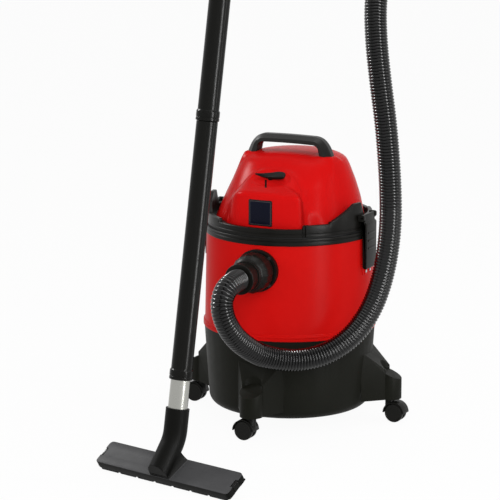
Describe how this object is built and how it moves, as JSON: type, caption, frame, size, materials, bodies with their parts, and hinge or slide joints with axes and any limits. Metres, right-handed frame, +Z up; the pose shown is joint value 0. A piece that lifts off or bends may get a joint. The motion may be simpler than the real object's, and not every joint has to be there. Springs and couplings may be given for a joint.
{
  "type": "shop vacuum",
  "caption": "Wet and dry shop vacuum: round tank on casters, latched lift-off motor head with a carrying handle, ribbed hose, upright wand and floor nozzle.",
  "frame": {"origin": "on the floor under the centre of the drum", "axes": "+Z up along the drum's axis, -Y to the front with the inlet and switch, latches on the X axis"},
  "size_m": [0.4926, 0.788, 1.3029],
  "materials": {
    "tank_red": "satin",
    "pan_black": "satin",
    "head_red": "satin",
    "head_black": "satin",
    "badge_navy": "gloss",
    "inner_plastic": "matte",
    "bright_steel": "polished",
    "zinc_steel": "satin",
    "ground_steel": "satin",
    "wound_copper": "satin",
    "caster_black": "satin",
    "wheel_black": "satin",
    "axle_steel": "satin",
    "wand_black": "satin",
    "hose_black": "satin",
    "seal_rubber": "matte",
    "float_white": "satin",
    "filter_foam": "matte"
  },
  "bodies": {
    "tank": {"drum": "tank_red", "base_pan": "pan_black", "rim_ring": "pan_black", "inlet_port": "pan_black", "hose_connector": "pan_black", "inlet_deflector": "inner_plastic", "metal_tube": "bright_steel", "left_catch": "bright_steel", "right_catch": "bright_steel", "inlet_screws": "zinc_steel", "catch_rivets": "zinc_steel", "lower_tube": "wand_black", "upper_tube": "wand_black", "hand_grip": "wand_black", "nozzle_body": "wand_black", "nozzle_insert": "wand_black", "suction_hose": "hose_black", "hose_cuff": "hose_black", "grip_cuff": "hose_black", "front_lip": "seal_rubber", "rear_lip": "seal_rubber"},
    "head": {"head_base": "pan_black", "head_cover": "head_red", "rim_gasket": "seal_rubber", "handle": "head_black", "handle_screws": "zinc_steel", "badge_plate": "badge_navy", "switch_body": "inner_plastic", "cover_screws": "zinc_steel", "latch_pins": "zinc_steel", "blower_outlet": "head_black", "cable_gland": "seal_rubber", "motor_housing": "inner_plastic", "motor_stator": "wound_copper", "fan_housing": "inner_plastic", "upper_bearing": "ground_steel", "lower_bearing": "ground_steel", "float_cage": "inner_plastic", "filter_sleeve": "filter_foam", "filter_cap": "inner_plastic"},
    "fan": {"motor_shaft": "ground_steel", "rotor": "ground_steel", "impeller": "inner_plastic"},
    "float": {"float_ball": "float_white"},
    "knob": {"switch_knob": "head_black"},
    "left_latch": {"left_latch": "head_black"},
    "right_latch": {"right_latch": "head_black"},
    "air_slide": {"air_slide": "wand_black"},
    "front_caster": {"front_caster_hood": "caster_black"},
    "front_wheels": {"front_caster_wheels": "wheel_black", "front_caster_axle": "axle_steel"},
    "right_caster": {"right_caster_hood": "caster_black"},
    "right_wheels": {"right_caster_wheels": "wheel_black", "right_caster_axle": "axle_steel"},
    "rear_caster": {"rear_caster_hood": "caster_black"},
    "rear_wheels": {"rear_caster_wheels": "wheel_black", "rear_caster_axle": "axle_steel"},
    "left_caster": {"left_caster_hood": "caster_black"},
    "left_wheels": {"left_caster_wheels": "wheel_black", "left_caster_axle": "axle_steel"}
  },
  "joints": [
    {"name": "head_lift", "type": "slide", "parent": "tank", "child": "head", "axis": [0, 0, 1], "range_m": [0, 0.3]},
    {"name": "right_latch_swing", "type": "hinge", "parent": "head", "child": "right_latch", "pos_m": [0.162, 0, 0.403], "axis": [0, -1, 0], "range_deg": [0, 95]},
    {"name": "left_latch_swing", "type": "hinge", "parent": "head", "child": "left_latch", "pos_m": [-0.162, 0, 0.403], "axis": [0, 1, 0], "range_deg": [0, 95]},
    {"name": "switch_turn", "type": "hinge", "parent": "head", "child": "knob", "pos_m": [0, -0.085, 0.478], "axis": [0, -0.5736, 0.8192], "range_deg": [0, 90]},
    {"name": "fan_spin", "type": "hinge", "parent": "head", "child": "fan", "pos_m": [0, 0, 0.44], "axis": [0, 0, 1], "continuous": true},
    {"name": "float_rise", "type": "slide", "parent": "head", "child": "float", "axis": [0, 0, 1], "range_m": [0, 0.04]},
    {"name": "air_slide_move", "type": "slide", "parent": "tank", "child": "air_slide", "axis": [0.04, 0.1548, 0.9871], "range_m": [0, 0.015]},
    {"name": "front_caster_swivel", "type": "hinge", "parent": "tank", "child": "front_caster", "pos_m": [0.01374, -0.19652, 0.045], "axis": [0, 0, 1], "continuous": true},
    {"name": "front_wheel_roll", "type": "hinge", "parent": "front_caster", "child": "front_wheels", "pos_m": [0.00174, -0.19652, 0.018], "axis": [0, 1, 0], "continuous": true},
    {"name": "right_caster_swivel", "type": "hinge", "parent": "tank", "child": "right_caster", "pos_m": [0.1927, 0.04096, 0.045], "axis": [0, 0, 1], "continuous": true},
    {"name": "right_wheel_roll", "type": "hinge", "parent": "right_caster", "child": "right_wheels", "pos_m": [0.2047, 0.04096, 0.018], "axis": [0, 1, 0], "continuous": true},
    {"name": "rear_caster_swivel", "type": "hinge", "parent": "tank", "child": "rear_caster", "pos_m": [-0.01374, 0.19652, 0.045], "axis": [0, 0, 1], "continuous": true},
    {"name": "rear_wheel_roll", "type": "hinge", "parent": "rear_caster", "child": "rear_wheels", "pos_m": [-0.00174, 0.19652, 0.018], "axis": [0, 1, 0], "continuous": true},
    {"name": "left_caster_swivel", "type": "hinge", "parent": "tank", "child": "left_caster", "pos_m": [-0.19652, 0.01374, 0.045], "axis": [0, 0, 1], "continuous": true},
    {"name": "left_wheel_roll", "type": "hinge", "parent": "left_caster", "child": "left_wheels", "pos_m": [-0.20852, 0.01374, 0.018], "axis": [0, 1, 0], "continuous": true}
  ]
}
